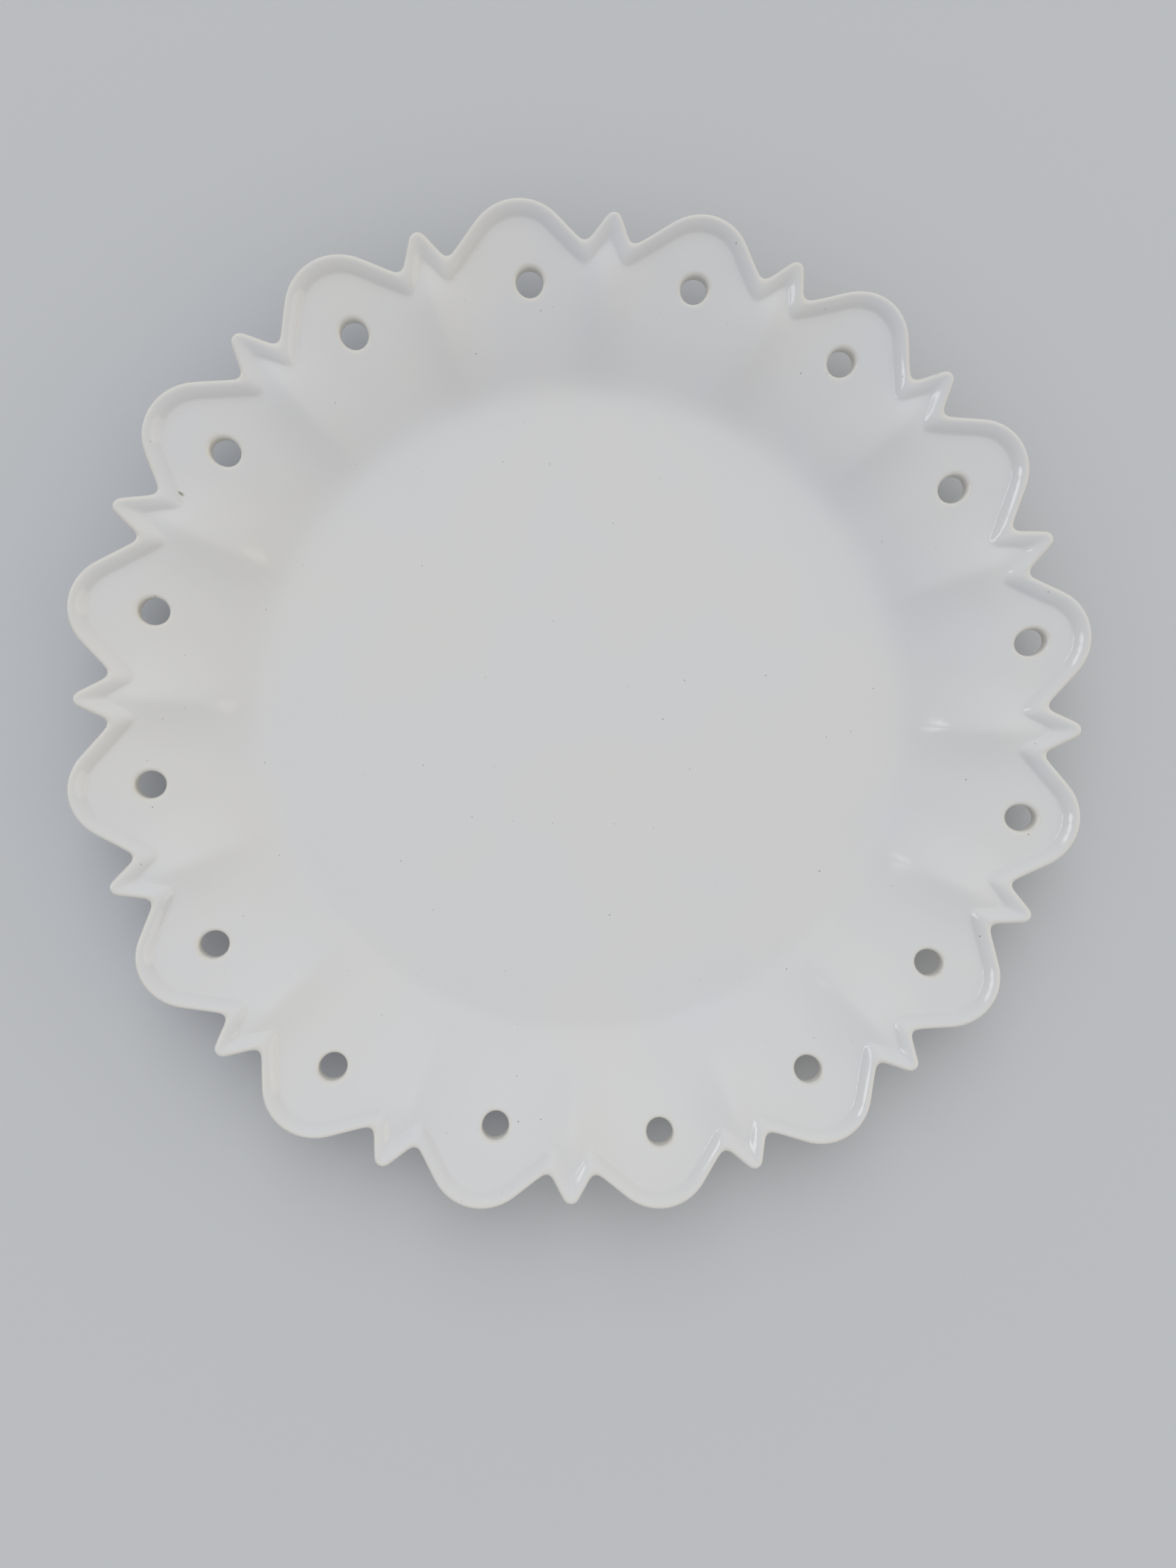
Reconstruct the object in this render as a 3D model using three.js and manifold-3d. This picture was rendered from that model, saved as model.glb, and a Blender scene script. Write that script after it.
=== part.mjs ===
// Pierced platter: a round serving platter of white glazed earthenware, moulded and fired as one piece.
// A flat well sweeps up into a flared rim of dished petals. A ridge grows between each pair of petals
// and sinks again into a small spike. One raised lip follows the outline of petals and spikes alike,
// and every petal is pierced by one round hole. Millimetres, +Z up. The origin is the centre of the
// foot ring, on the surface that it stands on, and one of the spikes lies on +X.
import * as THREE from "three";
import { mergeVertices } from "three/addons/utils/BufferGeometryUtils.js";
import Module from "manifold-3d";

const { degToRad, lerp, smoothstep } = THREE.MathUtils;

// Rim outline: petals with a round crown and straight flanks, and a spike in each notch between them.
const PETAL_COUNT = 16;
const RIM_RADIUS = 178; // centre of the platter to the crown of a petal
const PETAL_ROUND = 19; // radius of a petal's crown
const PETAL_FLANK = degToRad(52); // lean of a petal's flank from the rim's tangent
const SPIKE_DROP = 4.5; // how far a spike's tip stops short of the petals' crowns
const SPIKE_ROUND = 2.6; // radius of a spike's tip
const SPIKE_FLANK = degToRad(64); // lean of a spike's flank from the rim's tangent
const NOTCH_BLEND = 6.5; // width of the band where a petal and a spike melt together

// Section: foot ring, flat floor, and the wall that sweeps out of it and flares to the rim.
const WALL = 5.7; // upright thickness of the rim's clay
const FLOOR = 6; // thickness of the well's floor
const WELL_RADIUS = 113; // flat part of the floor
const WELL_SWEEP = 12; // how far the floor's tangent carries into the sweep
const SHOULDER = 15; // radius past the well where the sweep gives way to the flare
const SHOULDER_RISE = 11; // height over the floor that the flare starts from there
const RIM_SLOPE = degToRad(14); // slope of the flare out to the rim
const FOOT_HEIGHT = 4;
const FOOT_WIDTH = 7;
const FOOT_INSET = 5; // from the edge of the flat floor in to the foot's outer edge
const FOOT_DRAFT = 1.2; // how much wider the foot is where it leaves the underside

// Relief on the face: the lip round the rim and the ridges between petals.
const LIP_RISE = 2.8;
const LIP_WIDTH = 5.3;
const LIP_FOOT = 0.5; // height over which the lip's side melts into the petal
const RIDGE_RISE = 5.1;
const RIDGE_WIDTH = 22;
const RIDGE_CREST = 2.5; // rounding of the ridge's crest
const RIDGE_RUN = 37; // length over which a ridge grows out of the well
const RIDGE_FALL = 18; // length over which it then sinks into its spike
const RIDGE_TAIL = 0.2; // share of the ridge that is left there
const EDGE_ROUND = 1.8; // rounding of the rim's outer edge, front and back
const BACK_RISE = 1.5; // how far the underside lifts towards the rim, along with the lip
const BACK_REACH = 12; // how far in from the rim that lift starts

// Piercing: one upright hole in each petal, its mouths softened by the glaze. The holes are made by
// hand, so some stray from their circle, outwards or on round the platter.
const HOLE_RADIUS = 5;
const HOLE_INSET = 24.5; // from a petal's crown in to the circle of the holes' centres
const HOLE_SOFTENING = 0.9;
const HOLE_STRAYS = [
  { petal: 0, out: 7, on: 0 },
  { petal: 3, out: 0, on: -2 },
  { petal: 4, out: -2, on: -4 },
  { petal: 11, out: -3, on: 2 },
  { petal: 12, out: -1, on: 2 },
  { petal: 13, out: -2, on: 1 },
  { petal: 15, out: 7, on: 0 },
];

// Facets: steps along a petal's edge from its axis to the notch, places along a spike's edge as shares
// of the way, and rings of facets by their share of the way from the well to the foot of the lip.
const PETAL_STEPS = 5;
const SPIKE_SHARES = [0, 0.22, 0.55];
const HOLE_STEPS = 18;
const FACE_SHARES = [0, 0.1, 0.2, 0.33, 0.52];
const UPPER_SHARE = 0.75;
const LIP_SHARES = [1.1, 0.8, 0.55]; // places across the lip, as shares of its width
const UNDERSIDE_SHARES = [0.6, 0.3, 0.1];
const SECTION_STEPS = 200;
const SOLVER_STEPS = 40;
const MERGE_DISTANCE = 1e-4;

const PITCH = (2 * Math.PI) / PETAL_COUNT;
const HALF_PITCH = PITCH / 2;
const FLOOR_TOP = FOOT_HEIGHT + FLOOR;
const RIM_RISE = SHOULDER_RISE + Math.tan(RIM_SLOPE) * (RIM_RADIUS - WELL_RADIUS - SHOULDER);
const HOLE_CIRCLE = RIM_RADIUS - HOLE_INSET;
const RIDGE_PEAK = WELL_RADIUS + RIDGE_RUN;
const FOOT_OUTER = WELL_RADIUS - FOOT_INSET;
const FOOT_INNER = FOOT_OUTER - FOOT_WIDTH;

// The larger of two distances, with the corner between them filled in over the given width.
function softMax(a, b, width) {
  const near = Math.max(width - Math.abs(a - b), 0);
  return Math.max(a, b) + (near * near) / (4 * width);
}

// Angle of a point from the axis of the nearest spike, from 0 to half a pitch.
function angleFromSpike(angle) {
  return Math.abs(angle - PITCH * Math.round(angle / PITCH));
}

// Distance of a point inside an outline with a round crown and straight flanks, negative outside it.
function insetOf(radius, turn, reach, round, flank) {
  const side = Math.abs(radius * Math.sin(turn));
  const out = radius * Math.cos(turn) - (reach - round);
  const onCrown = Math.atan2(side, out) < flank;
  return round - (onCrown ? Math.hypot(side, out) : side * Math.sin(flank) + out * Math.cos(flank));
}

function petalInset(radius, angle) {
  return insetOf(radius, HALF_PITCH - angleFromSpike(angle), RIM_RADIUS, PETAL_ROUND, PETAL_FLANK);
}

function spikeInset(radius, angle) {
  return insetOf(radius, angleFromSpike(angle), RIM_RADIUS - SPIKE_DROP, SPIKE_ROUND, SPIKE_FLANK);
}

function rimInset(radius, angle) {
  return softMax(petalInset(radius, angle), spikeInset(radius, angle), NOTCH_BLEND);
}

// Where a function that falls from positive to negative crosses zero.
function crossing(low, high, value) {
  for (let i = 0; i < SOLVER_STEPS; i++) {
    const middle = (low + high) / 2;
    if (value(middle) > 0) low = middle;
    else high = middle;
  }
  return (low + high) / 2;
}

function radiusAtInset(inset, angle) {
  return crossing(0, RIM_RADIUS + NOTCH_BLEND, (radius) => rimInset(radius, angle) - inset);
}

// The wall's rise over the floor, read off one curve from the floor's edge to the rim.
const wallCurve = new THREE.CubicBezierCurve(
  new THREE.Vector2(WELL_RADIUS, 0),
  new THREE.Vector2(WELL_RADIUS + WELL_SWEEP, 0),
  new THREE.Vector2(WELL_RADIUS + SHOULDER, SHOULDER_RISE),
  new THREE.Vector2(RIM_RADIUS, RIM_RISE),
);
const wallPoints = wallCurve.getPoints(SECTION_STEPS);

function wallRise(radius) {
  if (radius <= WELL_RADIUS) return 0;
  const next = wallPoints.findIndex((point) => point.x >= radius);
  if (next < 1) return RIM_RISE + Math.tan(RIM_SLOPE) * (radius - RIM_RADIUS);
  const [a, b] = [wallPoints[next - 1], wallPoints[next]];
  return lerp(a.y, b.y, (radius - a.x) / (b.x - a.x));
}

// A flank that is full at a crest and runs out at its width, with the crest rounded over.
function flank(distance, width, crest) {
  const share = Math.max(1 - Math.hypot(distance, crest) / width, 0);
  return share * share;
}

function ridgeRise(radius, angle) {
  const distance = radius * Math.sin(angleFromSpike(angle));
  const growth = smoothstep(radius, WELL_RADIUS, RIDGE_PEAK);
  const left = lerp(1, RIDGE_TAIL, smoothstep(radius, RIDGE_PEAK, RIDGE_PEAK + RIDGE_FALL));
  return RIDGE_RISE * growth * left * flank(distance, RIDGE_WIDTH, RIDGE_CREST);
}

// The lip is a bead: flat on top at the rim's edge, and steepest at its foot.
function lipRise(inset) {
  const across = Math.max(inset, 0) / LIP_WIDTH;
  return softMax(LIP_RISE * (1 - across * across), 0, LIP_FOOT);
}

// How far the rounded edge falls away from the full section, at a distance in from the rim.
function edgeFall(inset) {
  const short = EDGE_ROUND - Math.min(Math.max(inset, 0), EDGE_ROUND);
  return EDGE_ROUND - Math.sqrt(EDGE_ROUND * EDGE_ROUND - short * short);
}

function faceHeight(radius, angle) {
  const inset = rimInset(radius, angle);
  const relief = ridgeRise(radius, angle) + lipRise(inset);
  return FLOOR_TOP + wallRise(radius) + relief - edgeFall(inset);
}

// The underside follows the face, thickening from the wall to the floor, with a soft lift for the lip.
function undersideHeight(radius, angle) {
  const inset = rimInset(radius, angle);
  const relief = ridgeRise(radius, angle) + BACK_RISE * (1 - smoothstep(inset, 0, BACK_REACH));
  const clay = lerp(FLOOR, WALL, smoothstep(radius, WELL_RADIUS, RIM_RADIUS));
  return FLOOR_TOP + wallRise(radius) + relief - clay + edgeFall(inset);
}

// Angles round the rim, closest together along the spikes, where the outline turns most.
function rimAngles() {
  const notch = crossing(0, HALF_PITCH, (angle) => {
    const radius = radiusAtInset(0, angle);
    return spikeInset(radius, angle) - petalInset(radius, angle);
  });
  const half = [];
  for (const share of SPIKE_SHARES) half.push(notch * share);
  for (let i = 0; i < PETAL_STEPS; i++) half.push(lerp(notch, HALF_PITCH, i / PETAL_STEPS));
  const back = half.slice(1).reverse().map((angle) => PITCH - angle);
  const pitch = [...half, HALF_PITCH, ...back];
  return Array.from({ length: PETAL_COUNT }, (_, i) => pitch.map((angle) => angle + PITCH * i)).flat();
}

// A ring of points, each at the radius and height that two functions give for its angle.
function ring(angles, radiusAt, heightAt) {
  return angles.map((angle) => {
    const radius = radiusAt(angle);
    const height = heightAt(radius, angle);
    return new THREE.Vector3(radius * Math.cos(angle), radius * Math.sin(angle), height);
  });
}

// Rings from the middle of the face, over the rim and back to the middle of the underside.
function platterRings() {
  const fine = rimAngles();
  const coarse = fine.filter((_, i) => i % 2 === 0);
  const inFromRim = (inset) => (angle) => radiusAtInset(inset, angle);
  const lipFoot = inFromRim(LIP_WIDTH * LIP_SHARES[0]);
  const upWall = (share) => (angle) => lerp(WELL_RADIUS, lipFoot(angle), share);
  const always = (length) => () => length;
  return [
    ...FACE_SHARES.map((share) => ring(coarse, upWall(share), faceHeight)),
    ring(fine, upWall(UPPER_SHARE), faceHeight),
    ...LIP_SHARES.map((share) => ring(fine, inFromRim(LIP_WIDTH * share), faceHeight)),
    ring(fine, inFromRim(EDGE_ROUND), faceHeight),
    ring(fine, inFromRim(EDGE_ROUND / 3), faceHeight),
    ring(fine, inFromRim(0), faceHeight),
    ring(fine, inFromRim(0), undersideHeight),
    ring(fine, inFromRim(EDGE_ROUND / 2), undersideHeight),
    ring(fine, inFromRim(BACK_REACH / 2), undersideHeight),
    ...UNDERSIDE_SHARES.map((share) => ring(coarse, upWall(share), undersideHeight)),
    ring(coarse, always(FOOT_OUTER + FOOT_DRAFT), always(FOOT_HEIGHT)),
    ring(coarse, always(FOOT_OUTER), always(0)),
    ring(coarse, always(FOOT_INNER), always(0)),
    ring(coarse, always(FOOT_INNER - FOOT_DRAFT), always(FOOT_HEIGHT)),
  ];
}

// A closed surface through a run of rings, with a fan to the axis at each end. Between two rings
// the next edge is the shorter one, so facets mirror each other across a ridge or a spike.
function loftGeometry(rings) {
  const vertices = [];
  const triangles = [];
  const add = (point) => vertices.push(point) - 1;
  const loops = rings.map((points) => points.map(add));
  const reach = (a, b) => vertices[a].distanceTo(vertices[b]);
  for (let k = 0; k + 1 < loops.length; k++) {
    const a = [...loops[k], loops[k][0]];
    const b = [...loops[k + 1], loops[k + 1][0]];
    let i = 0;
    let j = 0;
    while (i + 1 < a.length || j + 1 < b.length) {
      const alongA = i + 1 < a.length ? reach(a[i + 1], b[j]) : Infinity;
      const alongB = j + 1 < b.length ? reach(a[i], b[j + 1]) : Infinity;
      if (alongB <= alongA) triangles.push(a[i], b[j], b[++j]);
      else triangles.push(a[i], b[j], a[++i]);
    }
  }
  const fan = (loop) => {
    const centre = add(new THREE.Vector3(0, 0, vertices[loop[0]].z));
    loop.forEach((vertex, i) => triangles.push(centre, vertex, loop[(i + 1) % loop.length]));
  };
  fan(loops[0]);
  fan([...loops.at(-1)].reverse());
  return new THREE.BufferGeometry().setFromPoints(vertices).setIndex(triangles);
}

// The cutter for a petal's hole: a waist that flares out through both faces of the clay.
// It is sheared, so that its mouths follow the flare's slope while its wall stays upright.
function holeCutter(petal) {
  const stray = HOLE_STRAYS.find((hole) => hole.petal === petal) ?? { out: 0, on: 0 };
  const radius = HOLE_CIRCLE + stray.out;
  const angle = PITCH * petal + HALF_PITCH + stray.on / radius;
  const step = HOLE_RADIUS;
  const slope = (faceHeight(radius + step, angle) - faceHeight(radius - step, angle)) / (2 * step);
  const top = faceHeight(radius, angle);
  const bottom = undersideHeight(radius, angle);
  const half = (top - bottom) / 2;
  const waist = half - HOLE_SOFTENING;
  const past = HOLE_RADIUS; // how far the flares run on, clear of both faces
  const profile = [
    [0, -waist - past],
    [HOLE_RADIUS + past, -waist - past],
    [HOLE_RADIUS, -waist],
    [HOLE_RADIUS, waist],
    [HOLE_RADIUS + past, waist + past],
    [0, waist + past],
  ].map(([x, y]) => new THREE.Vector2(x, y));
  const shear = new THREE.Matrix4().makeShear(0, slope, 0, 0, 0, 0);
  const place = new THREE.Matrix4()
    .makeRotationZ(angle)
    .multiply(new THREE.Matrix4().makeTranslation(radius, 0, (top + bottom) / 2))
    .multiply(shear);
  return new THREE.LatheGeometry(profile, HOLE_STEPS).rotateX(Math.PI / 2).applyMatrix4(place);
}

const wasm = await Module();
wasm.setup();

function solidFrom(geometry) {
  const bare = geometry.clone();
  bare.deleteAttribute("normal");
  bare.deleteAttribute("uv");
  const merged = mergeVertices(bare, MERGE_DISTANCE);
  return new wasm.Manifold(
    new wasm.Mesh({
      numProp: 3,
      vertProperties: merged.getAttribute("position").array,
      triVerts: new Uint32Array(merged.index.array),
    }),
  );
}

function geometryFrom(solid) {
  const mesh = solid.getMesh();
  const geometry = new THREE.BufferGeometry();
  geometry.setAttribute("position", new THREE.BufferAttribute(mesh.vertProperties, 3));
  geometry.setIndex(new THREE.BufferAttribute(mesh.triVerts, 1));
  geometry.computeVertexNormals();
  return geometry;
}

function platterGeometry() {
  let clay = solidFrom(loftGeometry(platterRings()));
  for (let petal = 0; petal < PETAL_COUNT; petal++) {
    clay = clay.subtract(solidFrom(holeCutter(petal)));
  }
  return geometryFrom(clay);
}

const glaze = new THREE.MeshStandardMaterial({ color: 0xd7d6d4, roughness: 0.12, metalness: 0 });

const platter = new THREE.Mesh(platterGeometry(), glaze);
platter.name = "platter";

const piercedPlatter = new THREE.Group();
piercedPlatter.name = "pierced_platter";
piercedPlatter.add(platter);

export default piercedPlatter;
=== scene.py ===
"""Pierced platter: one piece of white glazed earthenware, seen from above on a plain pale floor.

The platter is one closed surface. A flat well sweeps up into a flared rim of dished petals. Ridges grow
between the petals and sink into small spikes, one raised lip follows the whole outline, each petal has a
hole with softened mouths, and a foot ring carries the underside. Lengths are in millimetres until the mesh
is made, and the frame is the model's own: +Z up, a spike on +X, the foot standing on z = 0.
"""
import math

import bpy
import numpy as np
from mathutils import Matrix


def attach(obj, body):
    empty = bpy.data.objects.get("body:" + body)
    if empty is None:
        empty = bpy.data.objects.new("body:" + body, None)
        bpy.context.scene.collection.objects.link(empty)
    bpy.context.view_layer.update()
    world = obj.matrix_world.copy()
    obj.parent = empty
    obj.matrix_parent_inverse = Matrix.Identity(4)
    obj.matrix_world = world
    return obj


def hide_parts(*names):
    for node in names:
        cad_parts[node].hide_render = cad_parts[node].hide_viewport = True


MM = 0.001

# Rim outline.
PETAL_COUNT = 16
RIM_RADIUS = 178.0
PETAL_ROUND = 19.0
PETAL_FLANK = math.radians(49)
SPIKE_DROP = 4.5
SPIKE_ROUND = 3.4
SPIKE_FLANK = math.radians(61.4)
SPIKE_TROUGH = 1.1  # rounding of the trough along a spike's middle
NOTCH_BLEND = 3.5

# Section.
WALL = 5.7
FLOOR = 6.0
WELL_RADIUS = 113.0
WELL_SWEEP = 12.0
SHOULDER = 15.0
SHOULDER_RISE = 11.0
RIM_SLOPE = math.radians(14)
FOOT_HEIGHT = 4.0
FOOT_WIDTH = 7.0
FOOT_INSET = 5.0
FOOT_SIDE = 2.2  # width of the foot's rounded sides, seen from below

# Relief.
LIP_RISE = 2.8
LIP_WIDTH = 5.3
LIP_FOOT = 0.5  # height over which the lip's side melts into the petal
RIDGE_RISE = 5.1
RIDGE_WIDTH = 22.0
RIDGE_CREST = 2.5
RIDGE_RUN = 37.0
RIDGE_FALL = 18.0
RIDGE_TAIL = 0.2
EDGE_ROUND = 1.8
BACK_RISE = 1.5  # how far the underside lifts towards the rim, along with the lip
BACK_REACH = 12.0

# Holes, one in each petal, with the strays of those that were pierced off their circle.
HOLE_RADIUS = 4.7
HOLE_INSET = 24.5
HOLE_SOFTENING = 1.4
HOLE_STRAYS = {0: (7, 0), 3: (0, -2), 4: (-2, -4), 11: (-3, 2), 12: (-1, 2), 13: (-2, 1), 15: (7, 0)}

# Warp from drying and firing: the rim is a little oval and three-sided, its petals crowd and spread in
# the same slow rhythms, and it lifts in a wave. Each is a count round the rim, a size and a turn.
SWELLS = ((2, 1.7, math.radians(3)), (3, 0.9, math.radians(13)))
CROWDS = ((2, 1.5, math.radians(-10)), (3, 1.5, math.radians(34)))
LIFT = (3, 0.5, math.radians(30))
WARP_START = 150.0

# Glaze: a cream along the rim's edges and the holes' mouths, partly where the glaze runs thin and partly a
# painted reflection of warm light on those rounded edges, as distances in from an edge at which the glaze
# starts and stops thickening and the painted reflection fades.
THIN_AND_REFLECTED_AT_RIM = (0.3, 2.4)
THIN_AND_REFLECTED_AT_HOLE = (0.3, 2.0)
BARE_BELOW = (0.1, 0.5)  # heights over the ground between which the foot's bare clay gives way to glaze
COOL_GLAZE = (0.66, 0.662, 0.67)
WARM_GLAZE = (0.672, 0.667, 0.655)
# The cream of thin glaze, also used as a painted reflection of warm light on the rounded edges.
THIN_GLAZE_AND_REFLECTION = (0.68, 0.66, 0.61)
BARE_CLAY = (0.62, 0.52, 0.4)
SPECK_COLOUR = (0.2, 0.16, 0.11)
GLAZE_ROUGHNESS = (0.08, 0.16)
GLAZE_IOR = 1.5
CLAY_ROUGHNESS = 0.75
CLOUDS = (16.0, 3)  # features to the metre and the steps of finer ones in them
BREAKS = (120.0, 2)
SHEEN = (40.0, 2)
CLOUD_RANGE = (0.35, 0.65)  # the noise's values from which and up to which it shows
BREAK_RANGE = (0.3, 0.6)
SHEEN_RANGE = (0.3, 0.7)
LEAST_BREAK = 0.55
SPECK_SCALE = 55.0
SPECK_SIZE = 0.018  # in cells
SPECK_RARITY = 0.5
SPECK_DEPTH = 0.9
PIT_PLACE = (-141.7, 69.8, 27.0)  # one small pit in the glaze
PIT_SIZE = (1.9, 0.9, 4.0)
PIT_TURN = math.radians(-33)
PIT_COLOUR = (0.24, 0.23, 0.16)
PIT_CORE = 0.4  # the share of the pit that has its full colour
WAVES = ((45.0, 0.25), (260.0, 0.02))  # features to the metre and their depth

# Light and ground. Each light has a name, the way to it as degrees round from +X and up from the floor, its
# breadth in degrees, its level and its colour. A level is what the light alone would show of a white that
# faces it. Lamps show in the glaze's body alone, and cards in its gloss alone.
LAMPS = (
    ("key", (100, 50), 50, 0.28, (0.97, 0.99, 1.0)),
    ("warm_wall", (-6, 25), 60, 0.09, (1.0, 0.78, 0.3)),
)
WINDOW_TURNS = (151, 166, 181)
CARDS = (
    *((f"window_{turn}", (turn, 36), 12, 0.045, (0.93, 0.97, 1.0)) for turn in WINDOW_TURNS),
    ("warm_card", (-6, 20), 34, 0.09, (1.0, 0.93, 0.75)),
)
SKY_COLOUR = (0.93, 0.945, 0.985)
SKY_LEVEL = 0.685
FLOOR_SIZE = 40.0  # in metres
FLOOR_DROP = 0.1  # keeps the floor's face clear of the foot's
FLOOR_COLOUR = (0.55, 0.56, 0.575)
FLOOR_ROUGHNESS = 0.9

# Camera, in millimetres and degrees.
CAMERA_SENSOR = 36.0
CAMERA_LENS = 27.03
CAMERA_PLACE = (-25.13, -7.49, 441.81)
CAMERA_TURN = (-2.472, -3.527, 2.128)

# Mesh density.
SPIKE_COLUMNS = 12
PETAL_COLUMNS = 13
SPIKE_CROWDING = 1.2  # powers that draw columns towards spikes' tips and notches
PETAL_CROWDING = 1.15
WALL_RINGS = 22
LIP_RINGS = 13
EDGE_RINGS = 7
FOOT_SIDE_RINGS = 8
FACE_RADII = (25.0, 60.0, 90.0, 107.0)
UNDER_RADII = (25.0, 60.0, 85.0, 95.0)
HOLE_MARGIN = 10.0  # from a hole's centre to the block of the grid that makes way for it
HOLE_RINGS = (0.75, 0.5, 0.3, 0.13, 0.0)
HOLE_ROUND_RINGS = 5
SECTION_STEPS = 600
SOLVER_STEPS = 45

PITCH = 2 * math.pi / PETAL_COUNT
HALF_PITCH = PITCH / 2
FLOOR_TOP = FOOT_HEIGHT + FLOOR
RIM_RISE = SHOULDER_RISE + math.tan(RIM_SLOPE) * (RIM_RADIUS - WELL_RADIUS - SHOULDER)
HOLE_CIRCLE = RIM_RADIUS - HOLE_INSET
RIDGE_PEAK = WELL_RADIUS + RIDGE_RUN
LIP_REACH = LIP_WIDTH * math.sqrt(1 + LIP_FOOT / LIP_RISE)
FOOT_MIDDLE = WELL_RADIUS - FOOT_INSET - FOOT_WIDTH / 2


def lerp(a, b, share):
    return a + (b - a) * share


def smoothstep(x, low, high):
    t = np.clip((x - low) / (high - low), 0, 1)
    return t * t * (3 - 2 * t)


def soft_max(a, b, width):
    near = np.maximum(width - np.abs(a - b), 0)
    return np.maximum(a, b) + near * near / (4 * width)


def angle_from_spike(angle):
    return np.abs(angle - PITCH * np.round(angle / PITCH))


def inset_of(side, out, crown, lean):
    """Distance inside an outline with a round crown and straight flanks."""
    on_crown = np.arctan2(side, out) < lean
    return crown - np.where(on_crown, np.hypot(side, out), side * math.sin(lean) + out * math.cos(lean))


def rim_inset(radius, angle):
    """Distance in from the rim's edge, round petals and spikes alike."""
    from_spike = angle_from_spike(angle)
    from_petal = HALF_PITCH - from_spike
    petal_side = np.abs(radius * np.sin(from_petal))
    petal_out = radius * np.cos(from_petal) - (RIM_RADIUS - PETAL_ROUND)
    spike_side = np.hypot(radius * np.sin(from_spike), SPIKE_TROUGH)
    spike_out = radius * np.cos(from_spike) - (RIM_RADIUS - SPIKE_DROP - SPIKE_ROUND)
    petal = inset_of(petal_side, petal_out, PETAL_ROUND, PETAL_FLANK)
    spike = inset_of(spike_side, spike_out, SPIKE_ROUND, SPIKE_FLANK)
    return soft_max(petal, spike, NOTCH_BLEND)


def radius_at_inset(inset, angle):
    low = np.full_like(angle, WELL_RADIUS)
    high = np.full_like(angle, RIM_RADIUS + NOTCH_BLEND)
    for _ in range(SOLVER_STEPS):
        middle = (low + high) / 2
        inside = rim_inset(middle, angle) > inset
        low = np.where(inside, middle, low)
        high = np.where(inside, high, middle)
    return (low + high) / 2


def wall_section():
    """Radii and rises along the wall's curve from the floor's edge to the rim."""
    t = np.linspace(0, 1, SECTION_STEPS)
    corners = (
        (WELL_RADIUS, 0.0),
        (WELL_RADIUS + WELL_SWEEP, 0.0),
        (WELL_RADIUS + SHOULDER, SHOULDER_RISE),
        (RIM_RADIUS, RIM_RISE),
    )
    weights = ((1 - t) ** 3, 3 * t * (1 - t) ** 2, 3 * t * t * (1 - t), t ** 3)
    radii = sum(weight * corner[0] for weight, corner in zip(weights, corners))
    rises = sum(weight * corner[1] for weight, corner in zip(weights, corners))
    return radii, rises


SECTION_RADII, SECTION_RISES = wall_section()


def wall_rise(radius):
    past = np.maximum(radius - RIM_RADIUS, 0) * math.tan(RIM_SLOPE)
    return np.interp(radius, SECTION_RADII, SECTION_RISES) + past


def flank(distance, width, crest):
    share = np.maximum(1 - np.hypot(distance, crest) / width, 0)
    return share * share


def ridge_rise(radius, angle):
    distance = radius * np.sin(angle_from_spike(angle))
    growth = smoothstep(radius, WELL_RADIUS, RIDGE_PEAK)
    left = lerp(1, RIDGE_TAIL, smoothstep(radius, RIDGE_PEAK, RIDGE_PEAK + RIDGE_FALL))
    return RIDGE_RISE * growth * left * flank(distance, RIDGE_WIDTH, RIDGE_CREST)


def lip_rise(inset):
    """A bead: flat on top at the rim's edge, and steepest at its foot."""
    return soft_max(LIP_RISE * (1 - (np.maximum(inset, 0) / LIP_WIDTH) ** 2), 0, LIP_FOOT)


def round_fall(distance, size):
    """How far a quarter-round edge falls, at a distance in from it."""
    short = size - np.clip(distance, 0, size)
    return size - np.sqrt(np.maximum(size * size - short * short, 0))


def face_height(radius, angle):
    inset = rim_inset(radius, angle)
    relief = ridge_rise(radius, angle) + lip_rise(inset)
    return FLOOR_TOP + wall_rise(radius) + relief - round_fall(inset, EDGE_ROUND)


def under_height(radius, angle):
    inset = rim_inset(radius, angle)
    relief = ridge_rise(radius, angle) + BACK_RISE * (1 - smoothstep(inset, 0, BACK_REACH))
    clay = lerp(FLOOR, WALL, smoothstep(radius, WELL_RADIUS, RIM_RADIUS))
    half, side = FOOT_WIDTH / 2, FOOT_SIDE / 2
    foot = FOOT_HEIGHT * (1 - smoothstep(np.abs(radius - FOOT_MIDDLE), half - side, half + side))
    return FLOOR_TOP + wall_rise(radius) + relief - clay - foot + round_fall(inset, EDGE_ROUND)


def column_angles():
    """Angles of the grid's columns, closer together at the spikes' tips and in the notches."""
    fine = np.linspace(0, HALF_PITCH, SECTION_STEPS)
    notch = fine[np.argmin(radius_at_inset(0.0, fine))]
    spike = notch * (np.arange(SPIKE_COLUMNS) / SPIKE_COLUMNS) ** SPIKE_CROWDING
    petal_shares = (np.arange(PETAL_COLUMNS) / PETAL_COLUMNS) ** PETAL_CROWDING
    petal = notch + (HALF_PITCH - notch) * petal_shares
    half = np.concatenate([spike, petal])
    pitch = np.concatenate([half, [HALF_PITCH], PITCH - half[:0:-1]])
    return np.concatenate([pitch + PITCH * i for i in range(PETAL_COUNT)])


def wave(angle, count, size, turn):
    return size * np.cos(count * (angle - turn))


def hole_place(petal):
    out, on = HOLE_STRAYS.get(petal, (0, 0))
    radius = HOLE_CIRCLE + out
    return radius, PITCH * petal + HALF_PITCH + on / radius


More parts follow.
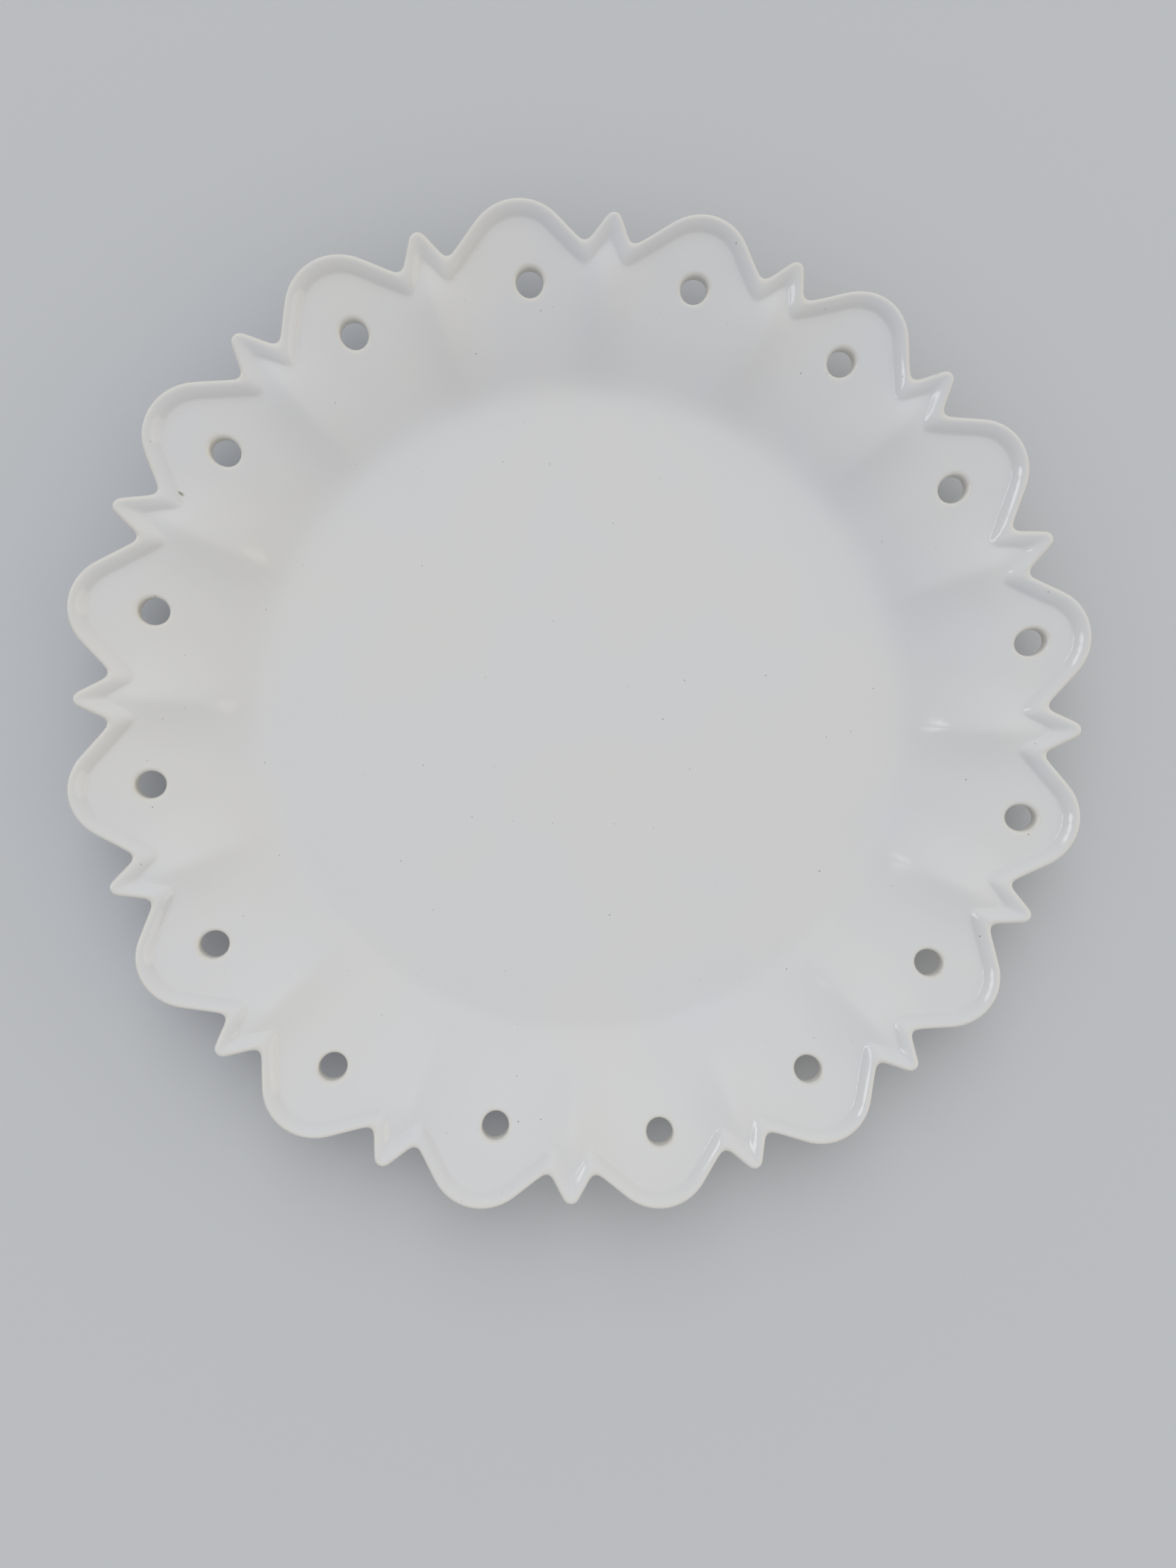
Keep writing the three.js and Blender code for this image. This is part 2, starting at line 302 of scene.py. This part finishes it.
class Side:
    """One face of the platter: a polar grid with an eye round each hole, all as points in plan."""

    def __init__(self, inner_radii, angles):
        columns = len(angles)
        lip_foot = radius_at_inset(LIP_REACH, angles)
        rings = [np.full(columns, radius) for radius in inner_radii]
        rings += [lerp(WELL_RADIUS, lip_foot, share) for share in np.linspace(0, 1, WALL_RINGS)]
        lip = np.linspace(LIP_REACH, EDGE_ROUND, LIP_RINGS + 1)[1:]
        edge = EDGE_ROUND * (1 - np.sin(np.linspace(0, math.pi / 2, EDGE_RINGS + 1)[1:]))
        rings += [radius_at_inset(inset, angles) for inset in np.concatenate([lip, edge])]
        radii = np.array(rings)
        turns = np.broadcast_to(angles, radii.shape)
        self.columns = columns
        self.rows = len(rings)
        self.lip_row = self.rows - len(lip) - len(edge) - 1
        self.x = [0.0, *(radii * np.cos(turns)).ravel()]
        self.y = [0.0, *(radii * np.sin(turns)).ravel()]
        self.fall = [0.0] * len(self.x)
        self.hole_gap = [HOLE_MARGIN] * len(self.x)
        self.grid = 1 + np.arange(radii.size).reshape(radii.shape)
        self.faces = [(0, self.at(0, c), self.at(0, c + 1)) for c in range(columns)]
        self.rim = [self.at(self.rows - 1, c) for c in range(columns)]
        self.hole_loops = []
        removed = np.zeros((self.rows - 1, columns), bool)
        for petal in range(PETAL_COUNT):
            self.cut_hole(petal, radii, angles, removed)
        for row, column in zip(*np.nonzero(~removed)):
            near = self.at(row, column), self.at(row + 1, column)
            far = self.at(row + 1, column + 1), self.at(row, column + 1)
            self.quad(*near, *far)

    def at(self, row, column):
        return int(self.grid[row, column % self.columns])

    def quad(self, *corners):
        self.faces.append(corners)

    def cut_hole(self, petal, radii, angles, removed):
        """Replaces a block of the grid with rings that close in on the hole's mouth and turn down into it."""
        hole_radius, hole_angle = hole_place(petal)
        middle = int(np.argmin(np.abs(angles - hole_angle)))
        along = hole_radius * np.sin(angles - hole_angle)
        near = np.nonzero((np.abs(along) < HOLE_MARGIN) & (np.cos(angles - hole_angle) > 0))[0]
        first, last = near.min() - 1, near.max() + 1
        ups = radii[:, middle]
        low = int(np.nonzero(ups < hole_radius - HOLE_MARGIN)[0].max())
        high = min(int(np.nonzero(ups > hole_radius + HOLE_MARGIN)[0].min()), self.lip_row)
        removed[low:high, first:last] = True
        loop = [self.at(low, c) for c in range(first, last)]
        loop += [self.at(r, last) for r in range(low, high)]
        loop += [self.at(high, c) for c in range(last, first, -1)]
        loop += [self.at(r, first) for r in range(high, low, -1)]
        centre_x, centre_y = hole_radius * math.cos(hole_angle), hole_radius * math.sin(hole_angle)
        reach_x = np.array([self.x[i] for i in loop]) - centre_x
        reach_y = np.array([self.y[i] for i in loop]) - centre_y
        reach = np.hypot(reach_x, reach_y)
        mouth = HOLE_RADIUS + HOLE_SOFTENING
        steps = [(lerp(mouth, reach, share), 0.0) for share in HOLE_RINGS]
        for turn in np.linspace(0, math.pi / 2, HOLE_ROUND_RINGS + 1)[1:]:
            distance = HOLE_RADIUS + HOLE_SOFTENING * (1 - math.sin(turn))
            steps.append((np.full_like(reach, distance), HOLE_SOFTENING * (1 - math.cos(turn))))
        for distance, fall in steps:
            start = len(self.x)
            self.x.extend(centre_x + reach_x / reach * distance)
            self.y.extend(centre_y + reach_y / reach * distance)
            self.fall.extend([fall] * len(loop))
            self.hole_gap.extend(distance - HOLE_RADIUS)
            inner = list(range(start, start + len(loop)))
            for i, j in zip(range(len(loop)), [*range(1, len(loop)), 0]):
                self.quad(loop[i], inner[i], inner[j], loop[j])
            loop = inner
        self.hole_loops.append(loop)


def platter_mesh():
    """Points, faces, and at each point the share of cream for glaze that has run thin and for a painted
    reflection of warm light: most over edges and crests.
    """
    angles = column_angles()
    half, side = FOOT_WIDTH / 2, FOOT_SIDE / 2
    sides = np.linspace(half - side, half + side, FOOT_SIDE_RINGS)
    foot_radii = [*(FOOT_MIDDLE - sides[::-1]), *(FOOT_MIDDLE + sides)]
    face = Side(FACE_RADII, angles)
    under = Side([*UNDER_RADII, *foot_radii], angles)
    points = []
    thin_and_reflected = []
    for part, height, falls in ((face, face_height, -1), (under, under_height, 1)):
        x, y = np.array(part.x), np.array(part.y)
        radius, angle = np.hypot(x, y), np.arctan2(y, x)
        z = height(radius, angle) + falls * np.array(part.fall)
        # Share of cream at each point over the rim's edge and the holes' mouths: thin glaze and a painted
        # reflection of warm light.
        at_rim = 1 - smoothstep(rim_inset(radius, angle), *THIN_AND_REFLECTED_AT_RIM)
        at_hole = 1 - smoothstep(np.array(part.hole_gap), *THIN_AND_REFLECTED_AT_HOLE)
        thin_and_reflected.append(np.maximum(at_rim, at_hole))
        near_rim = smoothstep(radius, WARP_START, RIM_RADIUS)
        radius_now = radius + near_rim * sum(wave(angle, *swell) for swell in SWELLS)
        angle_now = angle + near_rim * sum(wave(angle, *crowd) for crowd in CROWDS) / RIM_RADIUS
        lift = wave(angle, *LIFT) * smoothstep(radius, WELL_RADIUS, RIM_RADIUS)
        points.append(np.stack([radius_now * np.cos(angle_now), radius_now * np.sin(angle_now), z + lift], 1))
    shift = len(face.x)
    faces = [tuple(f) for f in face.faces]
    faces += [tuple(i + shift for i in reversed(f)) for f in under.faces]
    for top, bottom in [(face.rim, under.rim), *zip(face.hole_loops, under.hole_loops)]:
        count = len(top)
        for i in range(count):
            j = (i + 1) % count
            faces.append((top[i], bottom[i] + shift, bottom[j] + shift, top[j]))
    return np.concatenate(points) * MM, faces, np.concatenate(thin_and_reflected)


def glaze_material():
    """White glaze over pale clay: glossy, a little uneven, creamier where it runs thin and where a painted
    reflection of warm light lies on the same edges, with a few specks.
    """
    material = bpy.data.materials.new("white_glaze")
    material.use_nodes = True
    tree = material.node_tree
    shader = tree.nodes["Principled BSDF"]

    def add(kind, **settings):
        node = tree.nodes.new(kind)
        for name, value in settings.items():
            setattr(node, name, value)
        return node

    def noise(scale, detail):
        node = add("ShaderNodeTexNoise")
        node.inputs["Scale"].default_value = scale
        node.inputs["Detail"].default_value = detail
        tree.links.new(place.outputs["Object"], node.inputs["Vector"])
        return node.outputs["Fac"]

    def spread(source, low, high, to_low, to_high):
        node = add("ShaderNodeMapRange", interpolation_type="SMOOTHSTEP")
        tree.links.new(source, node.inputs["Value"])
        for name, value in zip(("From Min", "From Max", "To Min", "To Max"), (low, high, to_low, to_high)):
            node.inputs[name].default_value = value
        return node.outputs["Result"]

    def mix(share, first, second):
        node = add("ShaderNodeMix", data_type="RGBA")
        tree.links.new(share, node.inputs["Factor"])
        for socket, value in ((node.inputs["A"], first), (node.inputs["B"], second)):
            if isinstance(value, tuple):
                socket.default_value = (*value, 1)
            else:
                tree.links.new(value, socket)
        return node.outputs["Result"]

    def product(first, second):
        node = add("ShaderNodeMath", operation="MULTIPLY")
        tree.links.new(first, node.inputs[0])
        tree.links.new(second, node.inputs[1])
        return node.outputs["Value"]

    place = add("ShaderNodeTexCoord")
    thin_and_reflected = add("ShaderNodeAttribute", attribute_name="thin_glaze_and_reflection").outputs["Fac"]
    bare = add("ShaderNodeAttribute", attribute_name="bare_clay").outputs["Fac"]

    clouds = spread(noise(*CLOUDS), *CLOUD_RANGE, 0, 1)
    body = mix(clouds, COOL_GLAZE, WARM_GLAZE)
    # Cream over edges and hole mouths, broken up by noise: thin glaze and a painted reflection of warm light.
    thin_glaze_and_reflection_share = product(thin_and_reflected, spread(noise(*BREAKS), *BREAK_RANGE, LEAST_BREAK, 1))
    glazed = mix(thin_glaze_and_reflection_share, body, THIN_GLAZE_AND_REFLECTION)

    cells = add("ShaderNodeTexVoronoi", voronoi_dimensions="2D")
    cells.inputs["Scale"].default_value = SPECK_SCALE
    tree.links.new(place.outputs["Object"], cells.inputs["Vector"])
    dots = spread(cells.outputs["Distance"], SPECK_SIZE / 2, SPECK_SIZE, 1, 0)
    chosen = spread(cells.outputs["Color"], SPECK_RARITY, 1, 0, SPECK_DEPTH)
    specked = mix(product(dots, chosen), glazed, SPECK_COLOUR)
    pit_frame = add("ShaderNodeMapping", vector_type="TEXTURE")
    pit_frame.inputs["Location"].default_value = [length * MM for length in PIT_PLACE]
    pit_frame.inputs["Rotation"].default_value = (0, 0, PIT_TURN)
    pit_frame.inputs["Scale"].default_value = [length * MM for length in PIT_SIZE]
    tree.links.new(place.outputs["Object"], pit_frame.inputs["Vector"])
    from_pit = add("ShaderNodeVectorMath", operation="LENGTH")
    tree.links.new(pit_frame.outputs["Vector"], from_pit.inputs[0])
    pitted = mix(spread(from_pit.outputs["Value"], PIT_CORE, 1, 1, 0), specked, PIT_COLOUR)
    tree.links.new(mix(bare, pitted, BARE_CLAY), shader.inputs["Base Color"])

    sheen = spread(noise(*SHEEN), *SHEEN_RANGE, *GLAZE_ROUGHNESS)
    rough = add("ShaderNodeMix", data_type="FLOAT")
    tree.links.new(bare, rough.inputs["Factor"])
    tree.links.new(sheen, rough.inputs["A"])
    rough.inputs["B"].default_value = CLAY_ROUGHNESS
    tree.links.new(rough.outputs["Result"], shader.inputs["Roughness"])

    last = None
    for scale, depth in WAVES:
        bump = add("ShaderNodeBump")
        bump.inputs["Strength"].default_value = 1
        bump.inputs["Distance"].default_value = depth * MM
        tree.links.new(noise(scale, 1), bump.inputs["Height"])
        if last:
            tree.links.new(last, bump.inputs["Normal"])
        last = bump.outputs["Normal"]
    tree.links.new(last, shader.inputs["Normal"])
    shader.inputs["IOR"].default_value = GLAZE_IOR
    return material


def add_platter():
    points, faces, thin_and_reflected = platter_mesh()
    mesh = bpy.data.meshes.new("glazed_platter")
    mesh.from_pydata(points.tolist(), [], faces)
    mesh.shade_smooth()
    bare = 1 - smoothstep(points[:, 2] / MM, *BARE_BELOW)
    for name, values in (("thin_glaze_and_reflection", thin_and_reflected), ("bare_clay", bare)):
        attribute = mesh.attributes.new(name, "FLOAT", "POINT")
        attribute.data.foreach_set("value", values)
    mesh.materials.append(glaze_material())
    platter = bpy.data.objects.new("glazed_platter", mesh)
    bpy.context.scene.collection.objects.link(platter)
    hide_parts("platter")
    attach(platter, "root")


def add_floor():
    mesh = bpy.data.meshes.new("floor")
    reach = FLOOR_SIZE / 2
    corners = [(x * reach, y * reach, -FLOOR_DROP * MM) for x, y in ((-1, -1), (1, -1), (1, 1), (-1, 1))]
    mesh.from_pydata(corners, [], [(0, 1, 2, 3)])
    material = bpy.data.materials.new("floor")
    material.use_nodes = True
    shader = material.node_tree.nodes["Principled BSDF"]
    shader.inputs["Base Color"].default_value = (*FLOOR_COLOUR, 1)
    shader.inputs["Roughness"].default_value = FLOOR_ROUGHNESS
    mesh.materials.append(material)
    floor = bpy.data.objects.new("floor", mesh)
    bpy.context.scene.collection.objects.link(floor)


def add_light(name, way, breadth, level, colour, in_gloss):
    """A far light, broad enough to throw soft shadows."""
    lamp = bpy.data.lights.new(name, "SUN")
    lamp.energy = level * math.pi
    lamp.angle = math.radians(breadth)
    lamp.color = colour
    holder = bpy.data.objects.new(name, lamp)
    turn, height = (math.radians(angle) for angle in way)
    holder.rotation_euler = (0, math.pi / 2 - height, turn)
    holder.visible_diffuse = not in_gloss
    holder.visible_glossy = in_gloss
    bpy.context.scene.collection.objects.link(holder)


def add_world():
    world = bpy.data.worlds.new("studio")
    world.use_nodes = True
    background = world.node_tree.nodes["Background"]
    background.inputs["Color"].default_value = (*SKY_COLOUR, 1)
    background.inputs["Strength"].default_value = SKY_LEVEL
    bpy.context.scene.world = world


def add_camera():
    camera = bpy.data.cameras.new("camera")
    camera.sensor_width = CAMERA_SENSOR
    camera.lens = CAMERA_LENS
    holder = bpy.data.objects.new("camera", camera)
    holder.location = [length * MM for length in CAMERA_PLACE]
    holder.rotation_euler = [math.radians(turn) for turn in CAMERA_TURN]
    bpy.context.scene.collection.objects.link(holder)
    bpy.context.scene.camera = holder


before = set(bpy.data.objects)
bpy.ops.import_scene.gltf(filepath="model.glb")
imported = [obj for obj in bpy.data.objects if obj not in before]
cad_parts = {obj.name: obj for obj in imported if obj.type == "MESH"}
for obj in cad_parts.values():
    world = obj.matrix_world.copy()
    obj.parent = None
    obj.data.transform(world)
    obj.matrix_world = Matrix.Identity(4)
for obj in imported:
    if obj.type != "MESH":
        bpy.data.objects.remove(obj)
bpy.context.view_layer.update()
add_platter()
add_floor()
for lamp in LAMPS:
    add_light(*lamp, False)
for card in CARDS:
    add_light(*card, True)
add_world()
add_camera()
bpy.context.scene.view_settings.view_transform = "Standard"
